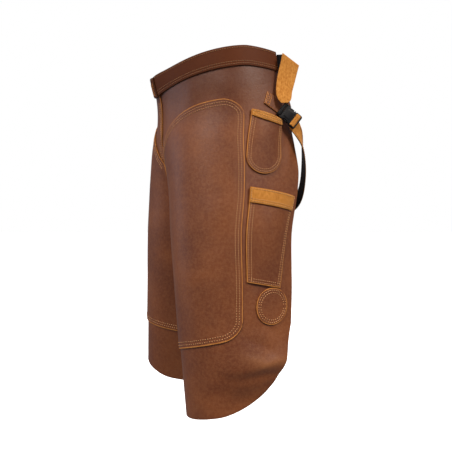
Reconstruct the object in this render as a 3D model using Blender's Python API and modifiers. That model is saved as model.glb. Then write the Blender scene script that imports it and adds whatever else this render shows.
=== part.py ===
"""A farrier's split-leg leather apron, held as it is worn, with nobody in it.

Metres, +Z up. The origin is the middle of the waist, level with the middle of the waistband at the side.
The front faces -Y and the wearer's left side is +X.

Every leather piece is cut in leather measure: s is the distance round the leg from the side line, forwards
negative and backwards positive, and z is the height. skin() carries (s, z) onto the worn form.
"""

import math

import bmesh
import bpy
from mathutils import Matrix, Vector

# Driving dimensions, metres.
LEATHER = 0.0022          # thickness of every leather piece
STRAP = 0.0030            # thickness of a strap, leather and webbing together
LAYER_GAP = 0.0010        # between a piece and what it lies on
PATCH_GAP = 0.0014        # and under the thigh patches, which bend both ways
SEAM_GAP = 0.0003         # between pieces that meet edge to edge

BAND_HEIGHT = 0.048
FRONT_DIP = 0.052         # how much lower the waistband lies at the centre front
BAND_OVERHANG = 0.004     # the panel stops this far below the waistband's top
BAND_END = 0.089          # the waistband's end, behind the side line
PROW = 0.016              # how far the waistband stands forward at the centre front
PROW_REACH = 0.055

CLIMB_REACH = 0.045       # a layer rises over another this gently
CROTCH = -0.200           # height where the two legs part
LAP = 0.012               # the right panel laps over the left one at the centre front
LAP_FADE = 0.030          # it narrows to nothing over this height above the crotch
LAP_RISE_FADE = 0.100     # and lies down again over this height below it
RIGHT_PATCH_LIFT = 0.012  # the right thigh patch ends this much higher

FLARE = 0.007             # the leather stands out just above the fold over the hem
FOLD_HEIGHT = -0.722      # the soft fold across the outer side of each leg
FOLD_DEPTH = 0.022        # how far the flap below it tucks in

PATCH_EDGE = -0.0315      # the thigh patch's outer edge
PATCH_INSET = 0.0015      # its inner edge stops this far short of the panel's
PATCH_WIDTH = 0.200       # about, for its corners and the slope of its lower edge
PATCH_CORNER = 0.040
PATCH_FOOT = -0.697       # its lower edge, at the inner side
PATCH_FOOT_SLOPE = 0.235  # it climbs this much for each metre outwards

# A pocket's mouth and foot are heights at its front side, and the drop from there to its back side. Its front
# and back sides are distances at the mouth and at the foot.
SMALL_POCKET_MOUTH = (-0.1290, -0.0190)
SMALL_POCKET_FOOT = -0.2785
SMALL_POCKET_ROUND = 0.046   # the foot's sides round up this much
SMALL_POCKET_FRONT = (-0.0125, -0.0315)
SMALL_POCKET_BACK = (0.0690, 0.0645)
SMALL_POCKET_BULGE = 0.0095
LONG_POCKET_MOUTH = (-0.3130, -0.0190)
LONG_POCKET_FOOT = (-0.5280, -0.0165)
LONG_POCKET_FRONT = (-0.0175, -0.0215)
LONG_POCKET_BACK = (0.1035, 0.0640)
LONG_POCKET_BULGE = 0.0140
DISC_CENTRE = (0.0425, -0.5845)
DISC_RADIUS = 0.0415

TAB_WIDTH = 0.033
TAB_START = (0.0305, -0.0960)
TAB_LENGTH = 0.045
TAB_SLOPE = -28.0         # degrees below the level, going backwards

BUCKLE_WIDTH = 0.038
WAIST_BUCKLE_WIDTH = 0.050
BUCKLE_THICK = 0.0080
SOCKET_LENGTH = 0.034
PLUG_LENGTH = 0.020
CORNER = 0.0020           # the socket's cut corners
NOTCH = (0.0180, 0.0290)  # the socket's sides are cut away here for the catches
NOTCH_DEPTH = 0.0045
CATCH = 0.0030            # thickness of a catch
SLOT = 0.0046             # a webbing slot
SLOT_WALL = 0.0030        # what is left outside a slot
BUCKLE_HEAD = Vector((0.1990, 0.0925, -0.1205))
BUCKLE_FOOT = Vector((0.2045, 0.1340, -0.1530))
BUCKLE_FACING = Vector((1.0, -0.10, 0.0))

LEG_STRAP_WIDTH = 0.030
BELT_WIDTH = 0.042
BELT_THICK = 0.0022
WEBBING = 0.0013          # the leg strap's inner face
STRAP_LEATHER = 0.0016    # and its outer face

# The worn form, one row for each level: height, middle in x and y, half width, depth to the front and to the
# back of the middle.
LEVELS = (
    # height, mid_x, mid_y, half_width, front, back
    (0.030, -0.025, 0.006, 0.208, 0.153, 0.200),
    (-0.050, -0.012, 0.014, 0.202, 0.161, 0.210),
    (-0.130, 0.007, 0.027, 0.188, 0.169, 0.220),
    (-0.200, 0.046, 0.024, 0.154, 0.168, 0.225),
    (-0.270, 0.073, 0.023, 0.134, 0.166, 0.225),
    (-0.330, 0.088, 0.019, 0.125, 0.161, 0.225),
    (-0.420, 0.103, 0.008, 0.119, 0.151, 0.225),
    (-0.550, 0.121, 0.005, 0.114, 0.144, 0.222),
    (-0.680, 0.141, -0.002, 0.107, 0.133, 0.215),
    (-0.840, 0.166, -0.006, 0.097, 0.123, 0.205),
)

# How far behind the side line each panel's back edge lies.
BACK_EDGE = (
    # height, distance
    (0.030, 0.089),
    (-0.030, 0.092),
    (-0.070, 0.106),
    (-0.100, 0.118),
    (-0.130, 0.114),
    (-0.165, 0.109),
    (-0.200, 0.117),
    (-0.260, 0.127),
    (-0.300, 0.124),
    (-0.360, 0.115),
    (-0.420, 0.108),
    (-0.550, 0.103),
    (-0.680, 0.098),
    (-0.840, 0.097),
)

# The rounded hem, from each panel's inner edge to its back edge. The right leg is drawn up a little.
HEM = (
    # share of the width, left height, right height
    (0.000, -0.8410, -0.8220),
    (0.130, -0.8385, -0.8126),
    (0.240, -0.8346, -0.7960),
    (0.360, -0.8280, -0.7790),
    (0.500, -0.8200, -0.7660),
    (0.670, -0.8015, -0.7530),
    (0.800, -0.7750, -0.7390),
    (0.890, -0.7400, -0.7180),
    (0.945, -0.7010, -0.6930),
    (1.000, -0.6280, -0.6280),
)

# Where each leg's inner edge lies below the crotch, in degrees round from the side.
INNER_EDGES = (
    # height, left, right
    (-0.200, -107.4, -107.4),
    (-0.250, -116.0, -116.5),
    (-0.310, -122.0, -125.5),
    (-0.420, -122.0, -138.0),
    (-0.550, -120.0, -147.0),
    (-0.680, -118.5, -151.0),
    (-0.840, -118.0, -155.0),
)

# The thigh patch's upper edge, from the inner side outwards.
PATCH_TOP = (
    # share of the width, height
    (0.00, -0.248),
    (0.10, -0.205),
    (0.22, -0.164),
    (0.31, -0.143),
    (0.42, -0.128),
    (0.60, -0.114),
    (0.84, -0.105),
    (1.00, -0.104),
)

# The left leg strap's path round the back of the thigh to the inner edge.
LEG_STRAP_PATH = (
    # x, y, z, the way its face points in degrees from +X
    (0.1950, 0.1290, -0.1555, -6.0),
    (0.1950, 0.1430, -0.1790, 28.0),
    (0.1880, 0.1565, -0.2080, 64.0),
    (0.1650, 0.1740, -0.2490, 79.0),
    (0.1350, 0.1890, -0.2910, 84.0),
    (0.1040, 0.1985, -0.3220, 92.0),
    (0.0760, 0.1970, -0.3440, 108.0),
    (0.0460, 0.1780, -0.3640, 135.0),
    (0.0230, 0.1400, -0.3800, 160.0),
    (0.0130, 0.0820, -0.3920, 176.0),
    (0.0130, 0.0200, -0.3980, 184.0),
    (0.0210, -0.0450, -0.4010, 194.0),
    (0.0330, -0.0930, -0.4020, 212.0),
    (0.0494, -0.1214, -0.4020, 237.0),
    (0.0612, -0.1280, -0.4020, 244.0),
)

# The belt's free end, from the fold down to its rounded tip.
TAIL_PATH = (
    # x, y, z of its middle, width
    (0.1940, 0.1210, 0.0020, 0.0410),
    (0.1925, 0.1150, -0.0240, 0.0405),
    (0.1930, 0.1080, -0.0490, 0.0410),
    (0.1960, 0.1015, -0.0720, 0.0390),
    (0.2005, 0.0980, -0.0905, 0.0370),
    (0.2035, 0.0970, -0.1015, 0.0290),
    (0.2047, 0.0965, -0.1080, 0.0150),
)
TAIL_SLANT = 0.0285       # the fold lies aslant

# The waist belt's left half, from under the waistband's end to the centre back.
WAIST_BELT_PATH = (
    # x, y, z, the way its face points in degrees from +X
    (0.1721, 0.0658, -0.0010, 20.0),
    (0.1609, 0.0936, -0.0015, 27.0),
    (0.1400, 0.1260, -0.0040, 38.0),
    (0.1060, 0.1530, -0.0070, 56.0),
    (0.0660, 0.1680, -0.0090, 74.0),
    (0.0360, 0.1735, -0.0100, 86.0),
    (0.0190, 0.1745, -0.0103, 90.0),
)

COLOURS = {
    # red, green, blue, roughness
    "leather": (0.155, 0.058, 0.030, 0.48),
    "suede": (0.520, 0.240, 0.050, 0.85),
    "webbing": (0.010, 0.009, 0.009, 0.75),
    "plastic": (0.012, 0.012, 0.013, 0.40),
}


def clear_scene():
    for thing in list(bpy.data.objects):
        bpy.data.objects.remove(thing, do_unlink=True)


def material(name, kind):
    """Each piece has a material of its own, in the colour of what it is made of."""
    made = bpy.data.materials.new(name)
    made.use_nodes = True
    shader = made.node_tree.nodes["Principled BSDF"]
    red, green, blue, roughness = COLOURS[kind]
    shader.inputs["Base Color"].default_value = (red, green, blue, 1.0)
    shader.inputs["Roughness"].default_value = roughness
    shader.inputs["Metallic"].default_value = 0.0
    return made


def ease(t):
    """0 below 0, 1 above 1, and smooth between."""
    t = min(max(t, 0.0), 1.0)
    return t * t * (3.0 - 2.0 * t)


def read(table, key, column):
    """Reads a column of a table at key, with a smooth curve between its rows."""
    keys = [row[0] for row in table]
    values = [row[column] for row in table]
    if keys[0] > keys[-1]:
        keys.reverse()
        values.reverse()
    if key <= keys[0]:
        return values[0]
    if key >= keys[-1]:
        return values[-1]
    i = max(k for k in range(len(keys) - 1) if keys[k] <= key)

    def slope(k):
        low, high = max(k - 1, 0), min(k + 1, len(keys) - 1)
        return (values[high] - values[low]) / (keys[high] - keys[low])

    span = keys[i + 1] - keys[i]
    t = (key - keys[i]) / span
    return (
        values[i] * (1 + 2 * t) * (1 - t) ** 2
        + values[i + 1] * t * t * (3 - 2 * t)
        + span * (slope(i) * t * (1 - t) ** 2 - slope(i + 1) * t * t * (1 - t))
    )


def level(z):
    """Middle x and y, half width, and depth to the front and back of the worn form at height z."""
    return [read(LEVELS, z, column) for column in range(1, 6)]


def stretch(angle, form):
    """Leather per radian round the worn form."""
    _, _, half_width, front, back = form
    depth = front if angle < 0 else back
    return math.hypot(half_width * math.sin(angle), depth * math.cos(angle))


def distance_at(angle, z, steps=24):
    form = level(z)
    step = angle / steps
    return sum(stretch((k + 0.5) * step, form) * step for k in range(steps))


def angle_at(s, form, steps=24):
    angle = 0.0
    step = s / steps
    for _ in range(steps):
        middle = angle + 0.5 * step / stretch(angle, form)
        angle += step / stretch(middle, form)
    return angle


def front_edge(z):
    """Distance from the side line to the centre front, where x is 0."""
    mid_x, _, half_width, _, _ = level(z)
    return distance_at(-math.acos(max(-mid_x / half_width, -1.0)), z)


def inner_edge(side, z):
    """Distance from the side line to the panel's inner edge: the centre front, then the inner leg."""
    if z >= CROTCH:
        return front_edge(z)
    return distance_at(math.radians(read(INNER_EDGES, z, 1 if side > 0 else 2)), z)


def relief(s, z):
    """How far the leather stands out or tucks in at the soft fold above the hem."""
    outer = ease((s + 0.115) / 0.10)
    swell = FLARE * ease((z + 0.62) / (FOLD_HEIGHT + 0.62)) * outer
    tuck = FOLD_DEPTH * ease((FOLD_HEIGHT + 0.004 - z) / 0.085) * outer
    return swell - tuck


def skin(side, s, z, out=0.0):
    """The point of the worn form at distance s from the side line and height z, moved out."""
    if z > CROTCH and s < front_edge(z):
        s = 2.0 * front_edge(z) - s
        side = -side
    form = level(z)
    mid_x, mid_y, half_width, front_depth, back_depth = form
    angle = angle_at(s, form)
    depth = front_depth if angle < 0 else back_depth
    across, along = depth * math.cos(angle), half_width * math.sin(angle)
    reach = (out + relief(s, z)) / math.hypot(across, along)
    x = mid_x + half_width * math.cos(angle) + across * reach
    y = mid_y + depth * math.sin(angle) + along * reach
    lift = ease((z + 0.10) / 0.085)
    y -= PROW * lift * math.exp(-((x / PROW_REACH) ** 2))
    return Vector((side * x, y, z))


def blend(start, end, t):
    return start + (end - start) * t


def sheet(name, kind, columns, rows, place, thickness, side=1, out=0.0):
    """A wall of cloth: a grid carried by place(u, v), moved out and given its thickness outwards.

    u runs backwards round the leg and v runs down.
    """
    mesh = bmesh.new()
    bmesh.ops.create_grid(mesh, x_segments=columns, y_segments=rows, size=0.5)
    for vert in mesh.verts:
        vert.co = place(vert.co.x + 0.5, 0.5 - vert.co.y)
    if side < 0:
        bmesh.ops.reverse_faces(mesh, faces=mesh.faces)
    mesh.normal_update()
    moves = [vert.normal * vert.calc_shell_factor() * out for vert in mesh.verts]
    for vert, move in zip(mesh.verts, moves):
        vert.co += move
    piece = finish(name, kind, mesh)
    wall = piece.modifiers.new("thickness", "SOLIDIFY")
    wall.thickness = thickness
    wall.offset = 1.0
    wall.use_even_offset = True
    return piece


def finish(name, kind, mesh):
    data = bpy.data.meshes.new(name)
    mesh.to_mesh(data)
    mesh.free()
    data.shade_smooth()
    data.materials.append(material(name, kind))
    piece = bpy.data.objects.new(name, data)
    bpy.data.collections["farrier apron"].objects.link(piece)
    return piece


def waist_line(s):
    """Height of the waistband's middle at distance s from the side line."""
    share = min(max(s / front_edge(0.0), 0.0), 1.0)
    return -FRONT_DIP * share ** 1.2


def even_curve(share):
    """Draws the columns together towards the back edge, where the hem climbs."""
    return 0.65 * share + 0.35 * math.sin(0.5 * math.pi * share)


def lapped(z):
    """1 where the right panel laps over the left one, fading out at the crotch."""
    return ease((z - CROTCH) / LAP_FADE)


def across(side, u, step, z, end):
    """Distance from the side line of column u. The right side's first column is the lap."""
    start = inner_edge(side, z)
    plain = even_curve(u)
    if side > 0:
        return blend(start + (SEAM_GAP if z > CROTCH else 0.0) * (1.0 - plain), end, plain)
    past = even_curve(max(u - step, 0.0) / (1.0 - step))
    lap = LAP * lapped(z) * max(1.0 - u / step, 0.0)
    return blend(start, end, blend(plain, past, lapped(z))) - lap


def climb(s, start):
    """Rises one layer towards the centre front, fully risen at start and beyond."""
    return (LEATHER + LAYER_GAP) * ease((start + CLIMB_REACH - s) / CLIMB_REACH)


def lap_rise(side, s, z):
    """Lifts the right panel over the left one where it laps."""
    if side > 0:
        return 0.0
    fade = ease((z - CROTCH + LAP_RISE_FADE) / LAP_RISE_FADE)
    return climb(s, inner_edge(side, z) + 0.001) * fade


def add_panel(side):
    """One leg, from the waistband down to the rounded hem."""
    columns = 30

    def place(u, v):
        share = even_curve(u)
        v = 0.72 * v + 0.28 * v * v
        top_s = blend(front_edge(0.0), read(BACK_EDGE, 0.0, 1), share)
        top = waist_line(top_s) + 0.5 * BAND_HEIGHT - BAND_OVERHANG
        z = blend(top, read(HEM, share, 1 if side > 0 else 2), v)
        s = across(side, u, 1.0 / columns, z, read(BACK_EDGE, z, 1))
        return skin(side, s, z, lap_rise(side, s, z))

    sheet(f"panel_{'left' if side > 0 else 'right'}", "leather", columns, 29, place, LEATHER, side)


def add_waistband(side):
    columns = 32

    def place(u, v):
        s = across(side, u, 1.0 / columns, 0.0, BAND_END)
        z = waist_line(s) + BAND_HEIGHT * (0.5 - v)
        s = across(side, u, 1.0 / columns, z, BAND_END)
        out = LEATHER + LAYER_GAP + lap_rise(side, s, z)
        out += climb(s, front_edge(z) + (LAP if side > 0 else 0.001))
        return skin(side, s, z, out)

    sheet(f"waistband_{'left' if side > 0 else 'right'}", "leather", columns, 4, place, LEATHER, side)


def patch_shape(side, u, v):
    """The thigh patch: s and z at a share of its width and height."""
    lift = 0.0 if side > 0 else RIGHT_PATCH_LIFT
    corner = PATCH_CORNER / PATCH_WIDTH
    past = max(u - (1.0 - corner), 0.0) / corner
    turn = PATCH_CORNER * (1.0 - math.sqrt(max(1.0 - past * past, 0.0)))
    top = read(PATCH_TOP, u, 1) - turn
    foot = PATCH_FOOT + lift + PATCH_FOOT_SLOPE * PATCH_WIDTH * u + turn * 0.9
    z = blend(top, foot, v)
    s = blend(inner_edge(side, z) + PATCH_INSET, PATCH_EDGE, u)
    return s, z


def add_patch(side):
    def place(u, v):
        s, z = patch_shape(side, even_curve(u), 0.75 * v + 0.25 * v * v)
        return skin(side, s, z, LEATHER + PATCH_GAP + lap_rise(side, s, z))

    sheet(f"thigh_patch_{'left' if side > 0 else 'right'}", "leather", 20, 20, place, LEATHER, side)


def mound(u, power=0.75):
    """1 in the middle of a pocket's width and 0 at its sewn edges."""
    return max(1.0 - (2.0 * u - 1.0) ** 2, 0.0) ** power


def small_pocket_point(u, v, out):
    """The small pocket, from its slanted mouth to its U-shaped foot."""
    mouth = SMALL_POCKET_MOUTH[0] + SMALL_POCKET_MOUTH[1] * u
    turn = 1.0 - math.sqrt(1.0 - 0.985 * (2.0 * u - 1.0) ** 2)
    z = blend(mouth, SMALL_POCKET_FOOT + SMALL_POCKET_ROUND * turn, v)
    down = (z - SMALL_POCKET_MOUTH[0]) / (SMALL_POCKET_FOOT - SMALL_POCKET_MOUTH[0])
    s = blend(blend(*SMALL_POCKET_FRONT, down), blend(*SMALL_POCKET_BACK, down), u)
    bulge = SMALL_POCKET_BULGE * mound(u) * ease(1.15 - v)
    return skin(1, s, z, LEATHER + LAYER_GAP + out + bulge)


def long_pocket_point(u, v, out):
    """The long pocket, which narrows towards its level foot."""
    mouth = LONG_POCKET_MOUTH[0] + LONG_POCKET_MOUTH[1] * u
    foot = LONG_POCKET_FOOT[0] + LONG_POCKET_FOOT[1] * u
    z = blend(mouth, foot, v)
    s = blend(blend(*LONG_POCKET_FRONT, v), blend(*LONG_POCKET_BACK, v), u)
    bulge = LONG_POCKET_BULGE * mound(u) * ease(1.25 - v)
    return skin(1, s, z, LEATHER + LAYER_GAP + out + bulge)


def add_pockets():
    over = LEATHER + LAYER_GAP
    sheet("small_pocket", "leather", 12, 10, lambda u, v: small_pocket_point(u, v, 0.0), LEATHER)
    sheet(
        "small_pocket_band", "suede", 12, 2,
        lambda u, v: small_pocket_point(u, 0.125 * v - 0.010, over), LEATHER,
    )
    sheet("long_pocket", "leather", 12, 11, lambda u, v: long_pocket_point(u, v, 0.0), LEATHER)
    sheet(
        "long_pocket_band", "suede", 12, 3,
        lambda u, v: long_pocket_point(blend(-0.008, 1.008, u), 0.165 * v - 0.008, over), LEATHER,
    )


def add_disc():
    """The round patch, from a grid squeezed into a circle."""

    def place(u, v):
        x, y = 2.0 * u - 1.0, 1.0 - 2.0 * v
        round_x = x * math.sqrt(1.0 - 0.49 * y * y)
        round_y = y * math.sqrt(1.0 - 0.49 * x * x)
        s = DISC_CENTRE[0] + DISC_RADIUS * round_x
        z = DISC_CENTRE[1] + DISC_RADIUS * round_y
        return skin(1, s, z, LEATHER + LAYER_GAP)

    sheet("round_patch", "leather", 10, 10, place, LEATHER)


def add_tab(side):
    """The hip tab, which carries the leg strap's buckle."""
    slope = math.radians(TAB_SLOPE)

    def place(u, v):
        run = TAB_LENGTH * u
        over = TAB_WIDTH * (0.5 - v)
        s = TAB_START[0] + run * math.cos(slope) - over * math.sin(slope)
        z = TAB_START[1] + run * math.sin(slope) + over * math.cos(slope)
        return skin(side, s, z, LEATHER + LAYER_GAP)

    sheet(f"hip_tab_{'left' if side > 0 else 'right'}", "leather", 6, 3, place, LEATHER, side)


def flat_outline(name, loops, thickness, frame):
    """A moulded plate with holes: a flat curve, one cyclic spline for each loop, made a welded mesh."""
    curve = bpy.data.curves.new(name, "CURVE")
    curve.dimensions = "2D"
    curve.fill_mode = "BOTH"
    curve.extrude = 0.5 * thickness
    for loop in loops:
        spline = curve.splines.new("POLY")
        spline.points.add(len(loop) - 1)
        for point, (x, y) in zip(spline.points, loop):
            point.co = (x, y, 0.0, 1.0)
        spline.use_cyclic_u = True
    guide = bpy.data.objects.new(f"{name} outline", curve)
    bpy.context.scene.collection.objects.link(guide)
    bpy.context.view_layer.update()
    flat = bpy.data.meshes.new_from_object(guide.evaluated_get(bpy.context.evaluated_depsgraph_get()))
    bpy.data.objects.remove(guide, do_unlink=True)
    mesh = bmesh.new()
    mesh.from_mesh(flat)
    bmesh.ops.remove_doubles(mesh, verts=mesh.verts, dist=1e-6)
    bmesh.ops.recalc_face_normals(mesh, faces=mesh.faces)
    plate = finish(name, "plastic", mesh)
    plate.data.shade_flat()
    plate.matrix_world = frame


def rectangle(x0, x1, half_height):
    return [(x0, -half_height), (x1, -half_height), (x1, half_height), (x0, half_height)]


def buckle_frame(head, foot, outward):
    """Axes of a buckle: x along the strap, y across it, z out from the body."""
    along = (foot - head).normalized()
    across = outward.cross(along).normalized()
    out = along.cross(across).normalized()
    frame = Matrix((along, across, out)).transposed().to_4x4()
    frame.translation = head
    return frame


def add_buckle(place_name, head, foot, outward, width):
    """A side-release buckle, fastened: the socket, and the plug with its strap bars."""
    frame = buckle_frame(head, foot, outward)
    half = 0.5 * width
    notch_start, notch_end = NOTCH
    upper = [
        (0.0, half - CORNER), (CORNER, half), (notch_start - CORNER, half), (notch_start, half - NOTCH_DEPTH),
        (notch_end, half - NOTCH_DEPTH), (notch_end + CORNER, half - 0.5 * CORNER), (SOCKET_LENGTH, half - CORNER),
    ]
    lower = [(x, -y) for x, y in reversed(upper)]
    bar = rectangle(SLOT_WALL, SLOT_WALL + SLOT, half - CORNER)
    flat_outline(f"{place_name}_socket", [upper + lower, bar], BUCKLE_THICK, frame)

    start = SOCKET_LENGTH + SEAM_GAP
    finish_x = start + PLUG_LENGTH
    plug = rectangle(start, finish_x, half)
    first = rectangle(start + SLOT_WALL, start + SLOT_WALL + SLOT, half - CORNER)
    second = rectangle(finish_x - SLOT_WALL - SLOT, finish_x - SLOT_WALL, half - CORNER)
    flat_outline(f"{place_name}_plug", [plug, first, second], 0.75 * BUCKLE_THICK, frame)
    for sign, name in ((-1, "front"), (1, "rear")):
        inner = sign * (half - NOTCH_DEPTH + SEAM_GAP)
        outer = inner + sign * CATCH
        near, far = notch_start + 0.25 * CORNER, notch_end - 0.25 * CORNER
        catch = [(near, inner), (far, inner), (far, outer), (near + 0.75 * CORNER, outer)]
        flat_outline(f"{place_name}_catch_{name}", [catch], 0.6 * BUCKLE_THICK, frame)


def smooth_path(table, t):
    """A point on the smooth curve through a table's rows, t from 0 to 1."""
    rows = [(k / (len(table) - 1),) + tuple(row) for k, row in enumerate(table)]
    return [read(rows, t, column) for column in range(1, len(rows[0]))]


def add_ribbon(name, kind, table, width, thickness, rows, side=1, out=0.0):
    """A strap along a path, with its face turned as the path's table says."""

    def place(u, v):
        step = 1e-3
        x, y, z, facing = smooth_path(table, u)
        before = Vector(smooth_path(table, max(u - step, 0.0))[:3])
        after = Vector(smooth_path(table, min(u + step, 1.0))[:3])
        outward = Vector((math.cos(math.radians(facing)), math.sin(math.radians(facing)), 0.0))
        up = outward.cross(after - before).normalized()
        placed = Vector((x, y, z)) + up * width * (0.5 - v)
        return Vector((side * placed.x, placed.y, placed.z))

    sheet(name, kind, rows, 1, place, thickness, side, out)


def add_straps(side):
    label = "left" if side > 0 else "right"
    path, width = LEG_STRAP_PATH, LEG_STRAP_WIDTH
    add_ribbon(f"leg_strap_{label}_webbing", "webbing", path, width, WEBBING, 36, side)
    out = WEBBING + SEAM_GAP
    add_ribbon(f"leg_strap_{label}_suede", "suede", path, width, STRAP_LEATHER, 36, side, out)
    add_ribbon(f"waist_belt_{label}", "webbing", WAIST_BELT_PATH, BELT_WIDTH, BELT_THICK, 14, side)


def add_belt_tail():
    """The belt's free end: black webbing out of the waistband, folded over and hanging suede side out."""
    across = Vector((0.250, 0.968, 0.0))

    def hang(u, v):
        middle, width = smooth_path(TAIL_PATH, v)[:3], smooth_path(TAIL_PATH, v)[3]
        slant = Vector((0.0, 0.0, -TAIL_SLANT * (u - 0.5) * (1.0 - v)))
        return Vector(middle) + across * width * (u - 0.5) + slant

    def root(u, v):
        z = BELT_WIDTH * (0.5 - v)
        inner = skin(1, read(BACK_EDGE, z, 1) + 0.0100, z, 0.0012)
        outer = hang(0.10, 0.22 * v) - Vector((0.0012, 0.0, 0.0))
        return blend(inner, outer, u)

    sheet("belt_tail", "suede", 5, 16, hang, STRAP)
    sheet("belt_tail_root", "webbing", 6, 4, root, BELT_THICK)


def build():
    clear_scene()
    collection = bpy.data.collections.new("farrier apron")
    bpy.context.scene.collection.children.link(collection)
    for side in (1, -1):
        add_panel(side)
        add_waistband(side)
        add_patch(side)
        add_tab(side)
        add_straps(side)
        head = Vector((side * BUCKLE_HEAD.x, BUCKLE_HEAD.y, BUCKLE_HEAD.z))
        foot = Vector((side * BUCKLE_FOOT.x, BUCKLE_FOOT.y, BUCKLE_FOOT.z))
        name = "leg_buckle_left" if side > 0 else "leg_buckle_right"
        facing = Vector((side * BUCKLE_FACING.x, BUCKLE_FACING.y, 0.0))
        add_buckle(name, head, foot, facing, BUCKLE_WIDTH)
    half = 0.5 * (SOCKET_LENGTH + PLUG_LENGTH)
    belt_y, belt_z = WAIST_BELT_PATH[-1][1:3]
    back = Vector((0.0, belt_y + BELT_THICK + SEAM_GAP + 0.5 * BUCKLE_THICK, belt_z))
    reach = Vector((half, 0.0, 0.0))
    add_buckle("waist_buckle", back + reach, back - reach, Vector((0.0, 1.0, 0.0)), WAIST_BUCKLE_WIDTH)
    add_pockets()
    add_disc()
    add_belt_tail()


build()
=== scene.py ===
"""The looks of a farrier's split-leg leather apron, held as it is worn, with nobody in it.

Metres, +Z up. The front faces -Y and the wearer's left side is +X. As in the frame, every leather piece is
cut in leather measure: s is the distance round the leg from the side line, forwards negative and backwards
positive, and z is the height. skin() carries (s, z) onto the worn form.
"""

import math

import bmesh
import bpy
import numpy as np
from mathutils import Matrix, Vector


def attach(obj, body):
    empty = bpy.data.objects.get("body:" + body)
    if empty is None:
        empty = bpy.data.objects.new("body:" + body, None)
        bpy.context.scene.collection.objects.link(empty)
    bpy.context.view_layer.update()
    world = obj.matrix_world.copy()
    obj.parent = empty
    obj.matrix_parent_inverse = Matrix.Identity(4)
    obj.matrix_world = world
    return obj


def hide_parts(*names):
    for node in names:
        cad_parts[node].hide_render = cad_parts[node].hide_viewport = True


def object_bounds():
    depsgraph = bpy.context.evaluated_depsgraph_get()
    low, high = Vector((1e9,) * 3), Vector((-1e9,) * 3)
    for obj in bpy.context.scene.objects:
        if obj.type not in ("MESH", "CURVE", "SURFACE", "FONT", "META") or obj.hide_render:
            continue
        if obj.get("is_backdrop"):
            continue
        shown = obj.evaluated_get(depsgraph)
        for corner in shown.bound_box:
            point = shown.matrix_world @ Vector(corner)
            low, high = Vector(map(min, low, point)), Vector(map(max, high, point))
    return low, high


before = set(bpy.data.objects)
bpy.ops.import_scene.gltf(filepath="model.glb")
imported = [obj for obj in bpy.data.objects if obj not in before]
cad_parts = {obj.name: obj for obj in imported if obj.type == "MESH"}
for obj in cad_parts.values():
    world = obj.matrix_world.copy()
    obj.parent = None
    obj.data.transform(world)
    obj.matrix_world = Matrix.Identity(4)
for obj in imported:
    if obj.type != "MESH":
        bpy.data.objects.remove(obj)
cad_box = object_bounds()

# The photograph's view: the camera stands level, this far from the apron's upright axis.
VIEW_AZIMUTH = 66.5
VIEW_DISTANCE = 1.456
VIEW_HEIGHT = -0.401
VIEW_SIDESTEP = 0.032
VIEW_LENS = 43.65
VIEW_SENSOR = 36.0
FLOOR_HEIGHT = -0.900
FLOOR_RADIUS = 40.0
AMBIENT = 0.24

# Cloth, as in the frame.
LEATHER = 0.0022
STRAP = 0.0030
LAYER_GAP = 0.0010
PATCH_GAP = 0.0014
SEAM_GAP = 0.0003
WEBBING = 0.0013
STRAP_LEATHER = 0.0016
BELT_THICK = 0.0022

BAND_HEIGHT = 0.048
FRONT_DIP = 0.052
BAND_OVERHANG = 0.004
BAND_END = 0.089
PROW = 0.016
PROW_REACH = 0.055
PROW_FOOT = -0.100        # it starts at this height
PROW_FADE = 0.085         # and is full this much higher
CLIMB_REACH = 0.045
CROTCH = -0.200
LAP = 0.012
LAP_FADE = 0.030
LAP_RISE_FADE = 0.100
RIGHT_PATCH_LIFT = 0.012
FLARE = 0.007
FOLD_HEIGHT = -0.722
FOLD_DEPTH = 0.022
FOLD_START = -0.115       # the fold starts this far round from the side line
FOLD_FADE = 0.100         # and is full this much further back
FLARE_TOP = -0.620        # the leather starts to stand out here
FOLD_LEAD = 0.004         # the tuck starts this much above the fold
SOFT_TUCK = 0.085         # most of it comes over this height
SHARP_TUCK = 0.024        # and some of it at once, for the fold's edge
FOLD_SHARPNESS = 0.14     # this share
PATCH_EDGE = -0.0315
PATCH_INSET = 0.0015
PATCH_WIDTH = 0.200
PATCH_LENGTH = 0.500
PATCH_CORNER = 0.040
PATCH_FOOT = -0.697
PATCH_FOOT_SLOPE = 0.235
SMALL_POCKET_MOUTH = (-0.1290, -0.0190)
SMALL_POCKET_FOOT = -0.2785
SMALL_POCKET_ROUND = 0.046
SMALL_POCKET_FRONT = (-0.0125, -0.0315)
SMALL_POCKET_BACK = (0.0690, 0.0645)
SMALL_POCKET_BULGE = 0.0095
LONG_POCKET_MOUTH = (-0.3130, -0.0190)
LONG_POCKET_FOOT = (-0.5280, -0.0165)
LONG_POCKET_FRONT = (-0.0175, -0.0215)
LONG_POCKET_BACK = (0.1035, 0.0640)
LONG_POCKET_BULGE = 0.0140
POCKET_SIZE = (0.090, 0.180)   # about, for the raw edges
POCKET_BAND_ABOVE = 0.009      # a band stands this share of its pocket's height above the mouth
DISC_CENTRE = (0.0425, -0.5845)
DISC_RADIUS = 0.0415
TAB_WIDTH = 0.033
TAB_START = (0.0305, -0.0960)
TAB_LENGTH = 0.045
TAB_SLOPE = -28.0
TAB_SEAM = (0.003, 0.013)      # the box of stitches starts and ends here
BUCKLE_WIDTH = 0.038
WAIST_BUCKLE_WIDTH = 0.050
BUCKLE_THICK = 0.0080
SOCKET_LENGTH = 0.034
PLUG_LENGTH = 0.020
CORNER = 0.0020
NOTCH = (0.0180, 0.0290)
NOTCH_DEPTH = 0.0045
SLOT = 0.0046
SLOT_WALL = 0.0030
MOULD_ROUNDING = 0.0007
SLOT_CORNER = 0.0010
PLUG_CORNER = 0.0045
PLUG_SHARE = 0.75              # the plug is this much as thick as the socket
FIELD_SIDE = 0.0085            # the raised field on the socket stays this far in from its sides
FIELD_CORNER = 0.0030
FIELD_THICK = 0.0016
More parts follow.
